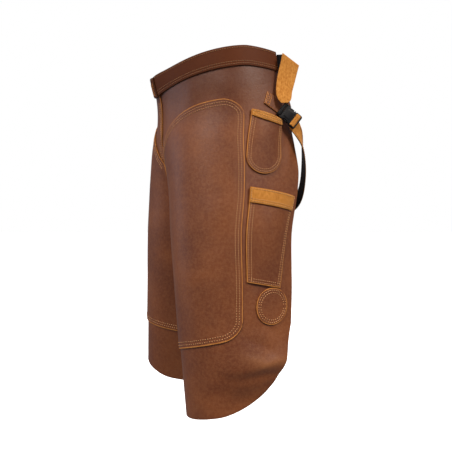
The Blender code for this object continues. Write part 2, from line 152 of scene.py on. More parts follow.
BUCKLE_HEAD = Vector((0.1990, 0.0925, -0.1205))
BUCKLE_FOOT = Vector((0.2045, 0.1340, -0.1530))
BUCKLE_FACING = Vector((1.0, -0.10, 0.0))
LEG_STRAP_WIDTH = 0.030
BELT_WIDTH = 0.042
TAIL_SLANT = 0.0285

LEVELS = (
    # height, mid_x, mid_y, half_width, front, back
    (0.030, -0.025, 0.006, 0.208, 0.153, 0.200),
    (-0.050, -0.012, 0.014, 0.202, 0.161, 0.210),
    (-0.130, 0.007, 0.027, 0.188, 0.169, 0.220),
    (-0.200, 0.046, 0.024, 0.154, 0.168, 0.225),
    (-0.270, 0.073, 0.023, 0.134, 0.166, 0.225),
    (-0.330, 0.088, 0.019, 0.125, 0.161, 0.225),
    (-0.420, 0.103, 0.008, 0.119, 0.151, 0.225),
    (-0.550, 0.121, 0.005, 0.114, 0.144, 0.222),
    (-0.680, 0.141, -0.002, 0.107, 0.133, 0.215),
    (-0.840, 0.166, -0.006, 0.097, 0.123, 0.205),
)

BACK_EDGE = (
    # height, distance
    (0.030, 0.089),
    (-0.030, 0.092),
    (-0.070, 0.106),
    (-0.100, 0.118),
    (-0.130, 0.114),
    (-0.165, 0.109),
    (-0.200, 0.117),
    (-0.260, 0.127),
    (-0.300, 0.124),
    (-0.360, 0.115),
    (-0.420, 0.108),
    (-0.550, 0.103),
    (-0.680, 0.098),
    (-0.840, 0.097),
)

HEM = (
    # share of the width, left height, right height
    (0.000, -0.8410, -0.8220),
    (0.130, -0.8385, -0.8126),
    (0.240, -0.8346, -0.7960),
    (0.360, -0.8280, -0.7790),
    (0.500, -0.8200, -0.7660),
    (0.670, -0.8015, -0.7530),
    (0.800, -0.7750, -0.7390),
    (0.890, -0.7400, -0.7180),
    (0.945, -0.7010, -0.6930),
    (1.000, -0.6280, -0.6280),
)

INNER_EDGES = (
    # height, left, right
    (-0.200, -107.4, -107.4),
    (-0.250, -116.0, -116.5),
    (-0.310, -122.0, -125.5),
    (-0.420, -122.0, -138.0),
    (-0.550, -120.0, -147.0),
    (-0.680, -118.5, -151.0),
    (-0.840, -118.0, -155.0),
)

PATCH_TOP = (
    # share of the width, height
    (0.00, -0.248),
    (0.10, -0.205),
    (0.22, -0.164),
    (0.31, -0.143),
    (0.42, -0.128),
    (0.60, -0.114),
    (0.84, -0.105),
    (1.00, -0.104),
)

LEG_STRAP_PATH = (
    # x, y, z, the way its face points in degrees from +X
    (0.1950, 0.1290, -0.1555, -6.0),
    (0.1950, 0.1430, -0.1790, 28.0),
    (0.1880, 0.1565, -0.2080, 64.0),
    (0.1650, 0.1740, -0.2490, 79.0),
    (0.1350, 0.1890, -0.2910, 84.0),
    (0.1040, 0.1985, -0.3220, 92.0),
    (0.0760, 0.1970, -0.3440, 108.0),
    (0.0460, 0.1780, -0.3640, 135.0),
    (0.0230, 0.1400, -0.3800, 160.0),
    (0.0130, 0.0820, -0.3920, 176.0),
    (0.0130, 0.0200, -0.3980, 184.0),
    (0.0210, -0.0450, -0.4010, 194.0),
    (0.0330, -0.0930, -0.4020, 212.0),
    (0.0494, -0.1214, -0.4020, 237.0),
    (0.0612, -0.1280, -0.4020, 244.0),
)

TAIL_PATH = (
    # x, y, z of its middle, width
    (0.1940, 0.1210, 0.0020, 0.0410),
    (0.1925, 0.1150, -0.0240, 0.0405),
    (0.1930, 0.1080, -0.0490, 0.0410),
    (0.1960, 0.1015, -0.0720, 0.0390),
    (0.2005, 0.0980, -0.0905, 0.0370),
    (0.2035, 0.0970, -0.1015, 0.0290),
    (0.2047, 0.0965, -0.1080, 0.0150),
)

WAIST_BELT_PATH = (
    # x, y, z, the way its face points in degrees from +X
    (0.1721, 0.0658, -0.0010, 20.0),
    (0.1609, 0.0936, -0.0015, 27.0),
    (0.1400, 0.1260, -0.0040, 38.0),
    (0.1060, 0.1530, -0.0070, 56.0),
    (0.0660, 0.1680, -0.0090, 74.0),
    (0.0360, 0.1735, -0.0100, 86.0),
    (0.0190, 0.1745, -0.0103, 90.0),
)

# The leather's creases, each a soft ridge, or a trough where its rise is negative. The right leg, which the
# photograph hardly shows, has like ones of its own.
CREASES = (
    # side, s, z, turn in degrees, length, width, rise
    (1, 0.064, -0.702, 5.0, 0.130, 0.019, 0.0034),
    (1, 0.050, -0.708, 4.0, 0.110, 0.008, 0.0014),
    (1, 0.022, -0.734, 3.0, 0.130, 0.013, -0.0034),
    (1, 0.020, -0.672, -27.0, 0.100, 0.010, -0.0013),
    (1, 0.045, -0.640, -33.0, 0.060, 0.008, -0.0010),
    (1, 0.000, -0.700, -20.0, 0.070, 0.009, 0.0012),
    (1, -0.020, -0.752, 12.0, 0.090, 0.016, 0.0016),
    (1, 0.030, -0.760, -8.0, 0.060, 0.010, -0.0012),
    (1, -0.075, -0.770, 18.0, 0.080, 0.018, -0.0014),
    (1, -0.120, -0.420, 6.0, 0.120, 0.045, -0.0014),
    (1, -0.085, -0.365, 62.0, 0.110, 0.030, 0.0011),
    (1, -0.190, -0.300, 75.0, 0.130, 0.028, 0.0011),
    (1, -0.150, -0.520, -10.0, 0.100, 0.034, 0.0010),
    (1, -0.070, -0.590, 40.0, 0.080, 0.024, -0.0009),
    (1, -0.210, -0.110, 82.0, 0.060, 0.020, -0.0020),
    (1, -0.150, -0.085, 68.0, 0.060, 0.022, 0.0018),
    (1, -0.060, -0.075, 75.0, 0.055, 0.022, 0.0016),
    (1, 0.095, -0.230, 80.0, 0.080, 0.012, 0.0014),
    (-1, 0.052, -0.700, 3.0, 0.130, 0.018, 0.0030),
    (-1, 0.036, -0.705, 2.0, 0.110, 0.008, 0.0014),
    (-1, 0.020, -0.732, 5.0, 0.130, 0.013, -0.0030),
    (-1, 0.030, -0.665, -22.0, 0.090, 0.010, -0.0012),
    (-1, -0.010, -0.695, -12.0, 0.070, 0.009, 0.0011),
    (-1, -0.030, -0.748, 15.0, 0.090, 0.016, 0.0014),
    (-1, -0.110, -0.440, -6.0, 0.120, 0.042, -0.0014),
    (-1, -0.090, -0.350, 55.0, 0.110, 0.030, 0.0012),
    (-1, -0.180, -0.310, 78.0, 0.120, 0.028, 0.0011),
    (-1, 0.040, -0.330, 20.0, 0.090, 0.022, -0.0018),
    (-1, 0.060, -0.470, -15.0, 0.080, 0.018, 0.0015),
    (-1, 0.020, -0.230, 65.0, 0.080, 0.020, 0.0016),
    (-1, -0.150, -0.090, 72.0, 0.060, 0.022, 0.0018),
    (-1, -0.060, -0.080, 85.0, 0.055, 0.022, -0.0016),
)

# Heavy waxed thread. Six stitches to the inch are typical, and they are drawn a third longer, so that each
# stitch shows.
THREAD = 0.00075
STITCH_PITCH = 0.0056
STITCH_LENGTH = 0.0031
STITCH_RISE = 0.0006
STITCH_SINK = 0.0004
NEEDLE_HOLE = 0.00075

# How far in from the edge each row of stitches runs.
LAP_ROWS = (0.0060, 0.0125)
BAND_ROWS = (0.0050, 0.0105)
PATCH_ROWS = (0.0075, 0.0140)
POCKET_ROWS = (0.0045, 0.0100)
SUEDE_BAND_ROWS = (0.0035, 0.0085)
DISC_ROWS = (0.0050, 0.0105)
STRAP_ROW = 0.0035
STRAP_TRIM = 0.020
# The crossed box of stitches on the lapped waistband: its distances from the end, and its heights.
LAP_BOX = (0.004, 0.020)
LAP_BOX_HEIGHTS = (-0.071, -0.040)

# A cut edge shows its raw, pale core this far in from the edge, where the grain side has been bevelled off.
RAW_EDGE = 0.0019
EDGE_ROUNDING = 0.0007

# Creases up to this wide are paler, partly the wear of bending and partly a painted highlight on their
# ridges, and are as pale as they get from this rise up.
SHARP_CREASE = 0.009
PALE_RISE = 0.0015

# Between these heights the leather's colour darkens towards the waistband, as painted shade under the band.
PAINTED_SHADE_FOOT = -0.170
PAINTED_SHADE_TOP = -0.060

# How far apart the webbing's ribs and rows are drawn, about twice what is typical.
RIB_PITCH = 0.002859
ROW_PITCH = 0.004492
WAVE_PERIOD = 0.1 * math.pi    # of a wave texture at scale 1

LIGHT_AIM = (0.0, 0.0, -0.40)
LIGHTS = (
    # name, place, size, power, colour
    ("key", (2.10, -3.10, 3.20), 2.0, 134.0, "#fff2ea"),
    ("side", (3.90, 2.30, 3.60), 1.8, 236.0, "#fff4ea"),
    ("front", (-1.70, -3.80, 0.70), 2.4, 32.0, "#f6f2ff"),
    ("top", (1.20, -0.40, 3.40), 2.0, 20.0, "#ffffff"),
    ("back", (-3.60, 3.20, 1.60), 3.0, 90.0, "#ffffff"),
)

WALK_STEPS = 24           # steps in which a distance round the worn form is measured


def ease(t):
    """0 below 0, 1 above 1, and smooth between."""
    t = np.clip(t, 0.0, 1.0)
    return t * t * (3.0 - 2.0 * t)


def blend(start, end, t):
    return start + (end - start) * t


def read(table, key, column):
    """Reads a column of a table at each key, with a smooth curve between its rows."""
    rows = np.array(sorted(table))
    keys, values = rows[:, 0], rows[:, column]
    order = np.arange(len(keys))
    low, high = np.maximum(order - 1, 0), np.minimum(order + 1, len(keys) - 1)
    slopes = (values[high] - values[low]) / (keys[high] - keys[low])
    key = np.clip(key, keys[0], keys[-1])
    i = np.clip(np.searchsorted(keys, key, side="right") - 1, 0, len(keys) - 2)
    span = keys[i + 1] - keys[i]
    t = (key - keys[i]) / span
    return (
        values[i] * (1 + 2 * t) * (1 - t) ** 2
        + values[i + 1] * t * t * (3 - 2 * t)
        + span * (slopes[i] * t * (1 - t) ** 2 - slopes[i + 1] * t * t * (1 - t))
    )


def level(z):
    """Middle x and y, half width, and depth to the front and back of the worn form at height z."""
    return [read(LEVELS, z, column) for column in range(1, 6)]


def stretch(angle, form):
    """Leather per radian round the worn form."""
    depth = np.where(angle < 0, form[3], form[4])
    return np.hypot(form[2] * np.sin(angle), depth * np.cos(angle))


def distance_at(angle, z):
    form = level(z)
    step = angle / WALK_STEPS
    return sum(stretch((k + 0.5) * step, form) * step for k in range(WALK_STEPS))


def angle_at(s, form):
    angle = np.zeros_like(s)
    step = s / WALK_STEPS
    for _ in range(WALK_STEPS):
        middle = angle + 0.5 * step / stretch(angle, form)
        angle = angle + step / stretch(middle, form)
    return angle


def front_edge(z):
    """Distance from the side line to the centre front, where x is 0."""
    form = level(z)
    return distance_at(-np.arccos(np.maximum(-form[0] / form[2], -1.0)), z)


def inner_edge(side, z):
    """Distance from the side line to the panel's inner edge: the centre front, then the inner leg."""
    below = distance_at(np.radians(read(INNER_EDGES, z, 1 if side > 0 else 2)), z)
    return np.where(z >= CROTCH, front_edge(z), below)


def creasing(side, s, z, widest=1.0):
    """How far the leather's creases, those up to the widest, stand out at (s, z)."""
    rise = np.zeros_like(s)
    for leg, crease_s, crease_z, turn, length, width, height in CREASES:
        if leg != side or width > widest:
            continue
        turn = math.radians(turn)
        along = (s - crease_s) * math.cos(turn) + (z - crease_z) * math.sin(turn)
        aside = (z - crease_z) * math.cos(turn) - (s - crease_s) * math.sin(turn)
        # It wanders a little from a straight line.
        aside = aside + 0.12 * along * np.sin(along / length * 5.0)
        rise += height * np.exp(-((along / (0.5 * length)) ** 2) - (aside / width) ** 2)
    return rise


def relief(side, s, z):
    """The soft fold above the hem, and the creases."""
    outer = ease((s - FOLD_START) / FOLD_FADE)
    swell = FLARE * ease((z - FLARE_TOP) / (FOLD_HEIGHT - FLARE_TOP)) * outer
    below = FOLD_HEIGHT + FOLD_LEAD - z
    tuck = FOLD_DEPTH * blend(ease(below / SOFT_TUCK), ease(below / SHARP_TUCK), FOLD_SHARPNESS) * outer
    return swell - tuck + creasing(side, s, z)


def skin(side, s, z, out=0.0):
    """The points of the worn form at distance s from the side line and height z, moved out."""
    s, z, out = (np.array(value, float) for value in np.broadcast_arrays(s, z, out))
    front = front_edge(z)
    past = (z > CROTCH) & (s < front)
    s = np.where(past, 2.0 * front - s, s)
    form = level(z)
    mid_x, mid_y, half_width, front_depth, back_depth = form
    angle = angle_at(s, form)
    depth = np.where(angle < 0, front_depth, back_depth)
    across_x, across_y = depth * np.cos(angle), half_width * np.sin(angle)
    reach = (out + relief(side, s, z)) / np.hypot(across_x, across_y)
    x = mid_x + half_width * np.cos(angle) + across_x * reach
    y = mid_y + depth * np.sin(angle) + across_y * reach
    y -= PROW * ease((z - PROW_FOOT) / PROW_FADE) * np.exp(-((x / PROW_REACH) ** 2))
    return np.stack((np.where(past, -side, side) * x, y, z), axis=-1)


def waist_line(s):
    share = np.clip(s / front_edge(0.0), 0.0, 1.0)
    return -FRONT_DIP * share ** 1.2


def even_curve(share):
    return 0.65 * share + 0.35 * np.sin(0.5 * math.pi * share)


def lapped(z):
    """1 where the right panel laps over the left one, fading out at the crotch."""
    return ease((z - CROTCH) / LAP_FADE)


def across(side, u, step, z, end):
    """Distance from the side line at share u of the width. The right side's first step is the lap."""
    start = inner_edge(side, z)
    plain = even_curve(u)
    if side > 0:
        return blend(start + np.where(z > CROTCH, SEAM_GAP, 0.0) * (1.0 - plain), end, plain)
    past = even_curve(np.maximum(u - step, 0.0) / (1.0 - step))
    lap = LAP * lapped(z) * np.maximum(1.0 - u / step, 0.0)
    return blend(start, end, blend(plain, past, lapped(z))) - lap


def climb(s, start):
    return (LEATHER + LAYER_GAP) * ease((start + CLIMB_REACH - s) / CLIMB_REACH)


def lap_rise(side, s, z):
    """Lifts the right panel over the left one where it laps."""
    if side > 0:
        return np.zeros_like(s)
    return climb(s, inner_edge(side, z) + 0.001) * ease((z - CROTCH + LAP_RISE_FADE) / LAP_RISE_FADE)


def linear(colour):
    """A colour from its sRGB hex value."""
    parts = [int(colour[k:k + 2], 16) / 255 for k in (1, 3, 5)]
    return [p / 12.92 if p <= 0.04045 else ((p + 0.055) / 1.055) ** 2.4 for p in parts] + [1.0]


def add_node(tree, kind, inputs=None, **settings):
    """Adds a node. inputs gives values, or sockets to link, by the input's name or number."""
    node = tree.nodes.new(kind)
    for name, value in settings.items():
        setattr(node, name, value)
    for name, value in (inputs or {}).items():
        if isinstance(value, bpy.types.NodeSocket):
            tree.links.new(value, node.inputs[name])
        else:
            node.inputs[name].default_value = value
    return node


def new_material(name, **constants):
    """A material with its shader, whose constants stand on its own sockets."""
    made = bpy.data.materials.new(name)
    made.use_nodes = True
    shader = made.node_tree.nodes["Principled BSDF"]
    for socket, value in constants.items():
        shader.inputs[socket.replace("_", " ")].default_value = value
    return made, made.node_tree, shader


def oiled_leather(name, shade, deep, middle, pale, roughness, specular):
    """Vegetable-tanned cowhide, drummed and oiled: a clouded brown with a soft sheen under a fine grain.
    Sharp creases are paler, partly the wear of bending and partly a painted highlight, and the colour darkens
    up by the waistband as painted shade."""
    made, tree, shader = new_material(name, Specular_IOR_Level=specular)
    place = add_node(tree, "ShaderNodeTexCoord").outputs["Object"]
    # Clouds a hand's breadth across.
    clouds = add_node(
        tree, "ShaderNodeTexNoise", {"Vector": place, "Scale": 9.0, "Detail": 4.0, "Roughness": 0.55}
    )
    mottle = add_node(
        tree, "ShaderNodeTexNoise", {"Vector": place, "Scale": 150.0, "Detail": 6.0, "Roughness": 0.7}
    )
    bend_wear_and_highlight = add_node(tree, "ShaderNodeAttribute", attribute_name="bend_wear_and_highlight")
    height = add_node(tree, "ShaderNodeSeparateXYZ", {"Vector": place})
    layers = (
        # what it follows, from, to, its full share, its colour
        (clouds.outputs["Fac"], 0.35, 0.68, 1.0, middle),
        (mottle.outputs["Fac"], 0.40, 0.75, 0.30, pale),
        # Sharp creases are paler: partly the wear of bending, partly a painted highlight on their ridges.
        (bend_wear_and_highlight.outputs["Fac"], 0.0, 1.0, 0.35, pale),
        # Painted shade: the colour darkens up towards the waistband.
        (height.outputs["Z"], PAINTED_SHADE_FOOT, PAINTED_SHADE_TOP, 0.62, shade),
    )
    colour = linear(deep)
    for follows, start, end, most, tint in layers:
        share = add_node(
            tree, "ShaderNodeMapRange", {"Value": follows, "From Min": start, "From Max": end, "To Max": most}
        )
        mixed = add_node(
            tree, "ShaderNodeMix", {0: share.outputs["Result"], 6: colour, 7: linear(tint)}, data_type="RGBA"
        )
        colour = mixed.outputs[2]
    tree.links.new(colour, shader.inputs["Base Color"])
    gloss = add_node(
        tree, "ShaderNodeMapRange",
        {"Value": mottle.outputs["Fac"], "To Min": roughness - 0.07, "To Max": roughness + 0.10},
    )
    tree.links.new(gloss.outputs["Result"], shader.inputs["Roughness"])
    # Cowhide grain typically has cells of about 1 mm, drawn at 2 mm so that they show.
    grain = add_node(
        tree, "ShaderNodeTexVoronoi", {"Vector": place, "Scale": 500.0}, feature="DISTANCE_TO_EDGE"
    )
    cells = add_node(tree, "ShaderNodeMapRange", {"Value": grain.outputs["Distance"], "From Max": 0.25})
    wrinkle = add_node(
        tree, "ShaderNodeTexNoise",
        {"Vector": place, "Scale": 55.0, "Detail": 6.0, "Roughness": 0.65, "Distortion": 0.6},
    )
    # The grain also breaks into fine wrinkles that run round the leg.
    around = add_node(tree, "ShaderNodeMapping", {"Vector": place, "Scale": (1.0, 1.0, 3.2)})
    level_way = around.outputs["Vector"]
    breaks = add_node(
        tree, "ShaderNodeTexNoise",
        {"Vector": level_way, "Scale": 120.0, "Detail": 5.0, "Roughness": 0.7, "Distortion": 0.4},
    )
    reliefs = (
        # height, strength, distance
        (cells.outputs["Result"], 0.16, 0.0004),
        (wrinkle.outputs["Fac"], 0.35, 0.0016),
        (breaks.outputs["Fac"], 0.30, 0.0009),
    )
    under = {}
    for rise, strength, distance in reliefs:
        bump = add_node(
            tree, "ShaderNodeBump", {"Height": rise, "Strength": strength, "Distance": distance, **under}
        )
        under = {"Normal": bump.outputs["Normal"]}
    tree.links.new(under["Normal"], shader.inputs["Normal"])
    return made


def flesh_side(name, dark, light, nap=900.0, sheen=0.25, scale=130.0):
    """Split or flesh side: short fibres that scatter the light, streaked where they have been brushed."""
    made, tree, shader = new_material(
        name, Roughness=0.92, Sheen_Weight=sheen, Sheen_Roughness=0.5, Specular_IOR_Level=0.2
    )
    place = add_node(tree, "ShaderNodeTexCoord").outputs["Object"]
    brushed = add_node(tree, "ShaderNodeMapping", {"Vector": place, "Scale": (1.0, 1.0, 0.45)})
    soft = add_node(
        tree, "ShaderNodeTexNoise",
        {"Vector": brushed.outputs["Vector"], "Scale": scale, "Detail": 6.0, "Roughness": 0.7},
    )
    fibre = add_node(
        tree, "ShaderNodeTexNoise", {"Vector": place, "Scale": nap, "Detail": 3.0, "Roughness": 0.7}
    )
    tone = add_node(
        tree, "ShaderNodeMapRange", {"Value": soft.outputs["Fac"], "From Min": 0.3, "From Max": 0.7}
    )
    colour = add_node(
        tree, "ShaderNodeMix",
        {0: tone.outputs["Result"], 6: linear(dark), 7: linear(light)}, data_type="RGBA",
    )
    tree.links.new(colour.outputs[2], shader.inputs["Base Color"])
    bump = add_node(
        tree, "ShaderNodeBump", {"Height": fibre.outputs["Fac"], "Strength": 0.5, "Distance": 0.0008}
    )
    tree.links.new(bump.outputs["Normal"], shader.inputs["Normal"])
    return made


def woven_webbing(name):
    """Black polypropylene webbing: ribs across it and rows along it, in its own pattern coordinates."""
    made, tree, shader = new_material(
        name, Roughness=0.70, Sheen_Weight=0.05, Sheen_Roughness=0.4, Specular_IOR_Level=0.3
    )
    flat = add_node(tree, "ShaderNodeUVMap", uv_map="pattern").outputs["UV"]
    ribs, rows = (
        add_node(
            tree, "ShaderNodeTexWave", {"Vector": flat, "Scale": WAVE_PERIOD / pitch},
            wave_type="BANDS", bands_direction=way,
        ).outputs["Fac"]
        for way, pitch in (("X", RIB_PITCH), ("Y", ROW_PITCH))
    )
    weave = add_node(tree, "ShaderNodeMath", {0: ribs, 1: rows}, operation="MULTIPLY")
    colour = add_node(
        tree, "ShaderNodeMix",
        {0: weave.outputs["Value"], 6: linear("#040404"), 7: linear("#151416")}, data_type="RGBA",
    )
    tree.links.new(colour.outputs[2], shader.inputs["Base Color"])
    bump = add_node(
        tree, "ShaderNodeBump", {"Height": weave.outputs["Value"], "Strength": 0.6, "Distance": 0.0005}
    )
    tree.links.new(bump.outputs["Normal"], shader.inputs["Normal"])
    return made


def moulded_acetal(name):
    """Injection-moulded acetal, black, with a fine spark-eroded texture."""
    made, tree, shader = new_material(
        name, Base_Color=linear("#070709"), IOR=1.48, Specular_IOR_Level=0.35
    )
    place = add_node(tree, "ShaderNodeTexCoord").outputs["Object"]
    spark = add_node(tree, "ShaderNodeTexNoise", {"Vector": place, "Scale": 900.0, "Detail": 2.0})
    gloss = add_node(
        tree, "ShaderNodeMapRange", {"Value": spark.outputs["Fac"], "To Min": 0.36, "To Max": 0.54}
    )
    tree.links.new(gloss.outputs["Result"], shader.inputs["Roughness"])
    bump = add_node(
        tree, "ShaderNodeBump", {"Height": spark.outputs["Fac"], "Strength": 0.1, "Distance": 0.0003}
    )
    tree.links.new(bump.outputs["Normal"], shader.inputs["Normal"])
    return made


def waxed_thread(name, dark, light):
    """Waxed polyester thread, a little uneven in colour."""
    made, tree, shader = new_material(name, Roughness=0.55)
    place = add_node(tree, "ShaderNodeTexCoord").outputs["Object"]
    uneven = add_node(tree, "ShaderNodeTexNoise", {"Vector": place, "Scale": 160.0, "Detail": 2.0})
    colour = add_node(
        tree, "ShaderNodeMix",
        {0: uneven.outputs["Fac"], 6: linear(dark), 7: linear(light)}, data_type="RGBA",
    )
    tree.links.new(colour.outputs[2], shader.inputs["Base Color"])
    return made


# The first colour given to each leather is the painted shade that darkens it up by the waistband.
GRAIN = oiled_leather("oiled_leather", "#4a2107", "#6a3411", "#82471c", "#ad7648", 0.46, 0.50)
BAND_GRAIN = oiled_leather("waistband_leather", "#55280c", "#53270c", "#653112", "#855028", 0.60, 0.15)
FLESH = flesh_side("leather_flesh_side", "#5a3a26", "#7a523a")
SUEDE = flesh_side("tan_suede", "#a9661e", "#dc9b48", nap=600.0, sheen=0.10, scale=260.0)
CUT_EDGE = flesh_side("cut_edge", "#b97536", "#d8954d", nap=1200.0, sheen=0.05)
DARK_EDGE = flesh_side("dyed_edge", "#43240f", "#573218", nap=1200.0, sheen=0.05)
WOVEN = woven_webbing("black_webbing")
ACETAL = moulded_acetal("black_acetal")
THREAD_TAN = waxed_thread("tan_thread", "#cb8a4e", "#efb478")
THREAD_BROWN = waxed_thread("brown_thread", "#93602f", "#b27c48")
THREAD_ORANGE = waxed_thread("orange_thread", "#d98428", "#f2a548")
THREAD_BAND = waxed_thread("pale_orange_thread", "#e8a552", "#ffc880")
# Dark marks between the stitches: painted shade in each needle hole.
PAINTED_HOLE_SHADE = waxed_thread("needle_hole_shade", "#2a150a", "#3a1f10")


def declare(piece, node, slot):
    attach(piece, "root")
    if node:
        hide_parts(node)


def add_object(name, data):
    added = bpy.data.objects.new(name, data)
    bpy.context.scene.collection.objects.link(added)
    return added


def mesh_from(curve):
    """The mesh of a curve with its thickness."""
    guide = add_object(curve.name, curve)
    bpy.context.view_layer.update()
    data = bpy.data.meshes.new_from_object(guide.evaluated_get(bpy.context.evaluated_depsgraph_get()))
    bpy.data.objects.remove(guide, do_unlink=True)
    return data


def raw_edge(t, steps, size):
    """Moves the lines next to a grid's edges, so that its outer faces are as wide as the raw edge."""
    near = np.minimum(t, 1.0 - t)
    moved = np.where(t < 0.5, RAW_EDGE / size, 1.0 - RAW_EDGE / size)
    return np.where(np.isclose(near, 1.0 / steps, atol=1e-4), moved, t)


def cut_out(
    name, node, slot, columns, rows, place, thickness, finishes,
    side=1, out=0.0, rests_on=(), raw=None,
):
    """A piece of cloth in place of its solid: a grid carried by place(u, v), which gives its flat measures
    and its points. finishes are its outer face, its inner face and its cut edge. raw is its width and
    length, where its edge shows its core."""
    mesh = bmesh.new()
    bmesh.ops.create_grid(mesh, x_segments=columns, y_segments=rows, size=0.5)
    spots = np.array([vert.co[:] for vert in mesh.verts])
    u, v = spots[:, 0] + 0.5, 0.5 - spots[:, 1]
    if raw:
        u, v = raw_edge(u, columns, raw[0]), raw_edge(v, rows, raw[1])
        for face in mesh.faces:
            face.material_index = 2 if any(vert.is_boundary for vert in face.verts) else 0
    flat, points = place(u, v)
    # Paleness on sharp ridges, partly the wear of bending and partly a painted highlight.
    bend_wear_and_highlight = mesh.verts.layers.float.new("bend_wear_and_highlight")
    ridges = np.clip(creasing(side, flat[:, 0], flat[:, 1], SHARP_CREASE) / PALE_RISE, 0.0, 1.0)
    for vert, point, ridge in zip(mesh.verts, points, ridges):
        vert.co = point
        vert[bend_wear_and_highlight] = ridge
    pattern = mesh.loops.layers.uv.new("pattern")
    area = 0.0
    for face in mesh.faces:
        corners = [flat[vert.index] for vert in face.verts]
        (ax, ay), (bx, by) = corners[2] - corners[0], corners[3] - corners[1]
        area += 0.5 * abs(ax * by - ay * bx)
        for loop in face.loops:
            loop[pattern].uv = flat[loop.vert.index]
    if side < 0:
        bmesh.ops.reverse_faces(mesh, faces=mesh.faces)
    mesh.normal_update()
    if out:
        moves = [vert.normal * vert.calc_shell_factor() * out for vert in mesh.verts]
        for vert, move in zip(mesh.verts, moves):
            vert.co += move
    piece = finish_piece(name, mesh, finishes)
    wall = piece.modifiers.new("thickness", "SOLIDIFY")
    wall.thickness = thickness
    wall.offset = 1.0
    wall.use_even_offset = True
    wall.material_offset = 1
    wall.material_offset_rim = 2
    rounded = piece.modifiers.new("rounded_edge", "BEVEL")
    rounded.width = min(EDGE_ROUNDING, 0.35 * thickness)
    rounded.segments = 2
    rounded.limit_method = "ANGLE"
    rounded.angle_limit = math.radians(55.0)
    rounded.material = 2
    declare(piece, node, slot)
    width, length = flat.max(axis=0) - flat.min(axis=0)
    area = min(area, width * length)


def finish_piece(name, mesh, finishes):
    data = bpy.data.meshes.new(name)
    mesh.to_mesh(data)
    mesh.free()
    data.shade_smooth()
    for finish in finishes:
        data.materials.append(finish)
    return add_object(name, data)


def flat_points(s, z):
    return np.stack(np.broadcast_arrays(s, z), axis=-1).astype(float)


def border(place, *edges, samples=160):
    """The flat outline of a piece along some of its edges, taken clockwise with the inside on the right."""
    t = np.linspace(0.0, 1.0, samples)
    still = np.zeros(samples)
    runs = {
        "top": (t, still),
        "back": (still + 1.0, t),
        "foot": (1.0 - t, still + 1.0),
        "front": (still, 1.0 - t),
    }
    points = np.concatenate([place(*runs[edge])[0] for edge in edges])
    steps = np.linalg.norm(np.diff(points, axis=0), axis=1)
    return points[np.concatenate(([True], steps > 1e-6))]


def inside(points, inset):
    """A flat line moved to the right of its way by inset."""
    way = np.gradient(points, axis=0)
    way /= np.linalg.norm(way, axis=1)[:, None]
    return points + inset * np.stack((way[:, 1], -way[:, 0]), axis=-1)


def sew(name, surface, rows, finish, trim=0.0):
    """Rows of stitches along flat lines, and between them dark marks of painted shade where the thread sinks
    into the leather. surface(s, z, out) gives the points they lie on."""
    arch = ((0.0, -STITCH_SINK), (0.5, STITCH_RISE), (1.0, -STITCH_SINK))
    flush = ((0.0, -0.4 * NEEDLE_HOLE), (1.0, -0.4 * NEEDLE_HOLE))
    gap = STITCH_PITCH - STITCH_LENGTH
    add_marks(name, surface, rows, finish, trim, THREAD, STITCH_LENGTH, 0.0, arch)
    # Between the stitches, dark marks of painted shade in the needle hole.
    add_marks(f"{name}_hole_shade", surface, rows, PAINTED_HOLE_SHADE, trim, NEEDLE_HOLE, gap, STITCH_LENGTH, flush)


def add_marks(name, surface, rows, finish, trim, radius, length, shift, shape):
    """A short length of thread, or a dark mark of painted shade in a needle hole, at every stitch. shape
    gives its rise along its length.
    """
    curve = bpy.data.curves.new(name, "CURVE")
    curve.dimensions = "3D"
    curve.bevel_depth = radius
    curve.bevel_resolution = 1
    curve.use_fill_caps = True
    for line in rows:
        run = np.concatenate(([0.0], np.cumsum(np.linalg.norm(np.diff(line, axis=0), axis=1))))
        count = int((run[-1] - 2.0 * trim) / STITCH_PITCH)
        if count < 1:
            continue
        first = 0.5 * (1.0 - STITCH_LENGTH / STITCH_PITCH)
        starts = trim + STITCH_PITCH * (np.arange(count) + first) + shift
        marks = []
        for share, lift in shape:
            where = starts + share * length
            s, z = np.interp(where, run, line[:, 0]), np.interp(where, run, line[:, 1])
            marks.append(surface(s, z, lift))
        for stitch in zip(*marks):
            spline = curve.splines.new("POLY")
            spline.points.add(len(stitch) - 1)
            for point, place in zip(spline.points, stitch):
                point.co = (*place, 1.0)
    data = mesh_from(curve)
    data.shade_smooth()
    data.materials.clear()
    data.materials.append(finish)
    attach(add_object(name, data), "root")


def label(side):
    return "left" if side > 0 else "right"


LEATHER_FACES = (GRAIN, FLESH, CUT_EDGE)
BAND_FACES = (BAND_GRAIN, FLESH, DARK_EDGE)
SUEDE_FACES = (SUEDE, SUEDE, SUEDE)
WEBBING_FACES = (WOVEN, WOVEN, WOVEN)


def on_panel(side, out=0.0):
    """A surface that lies on the panel, moved out."""
    return lambda s, z, lift=0.0: skin(side, s, z, lap_rise(side, s, z) + out + lift)


def add_panel(side):
    lap_step = 1.0 / 30

    def place(u, v):
        share = even_curve(u)
        v = 0.72 * v + 0.28 * v * v
        top_s = blend(front_edge(0.0), read(BACK_EDGE, 0.0, 1), share)
        top = waist_line(top_s) + 0.5 * BAND_HEIGHT - BAND_OVERHANG
        z = blend(top, read(HEM, share, 1 if side > 0 else 2), v)
        s = across(side, u, lap_step, z, read(BACK_EDGE, z, 1))
        return flat_points(s, z), on_panel(side)(s, z)

    cut_out(
        f"{label(side)}_leg", f"panel_{label(side)}", "leather", 120, 174, place,
        LEATHER, LEATHER_FACES, side,
    )
    if side < 0:
        z = np.linspace(-0.088, -0.285, 200)
        edge = across(-1, np.zeros_like(z), lap_step, z, 0.1)
        rows = [flat_points(edge + inset, z) for inset in LAP_ROWS]
        sew("lap_stitches", on_panel(-1, LEATHER), rows, THREAD_TAN)


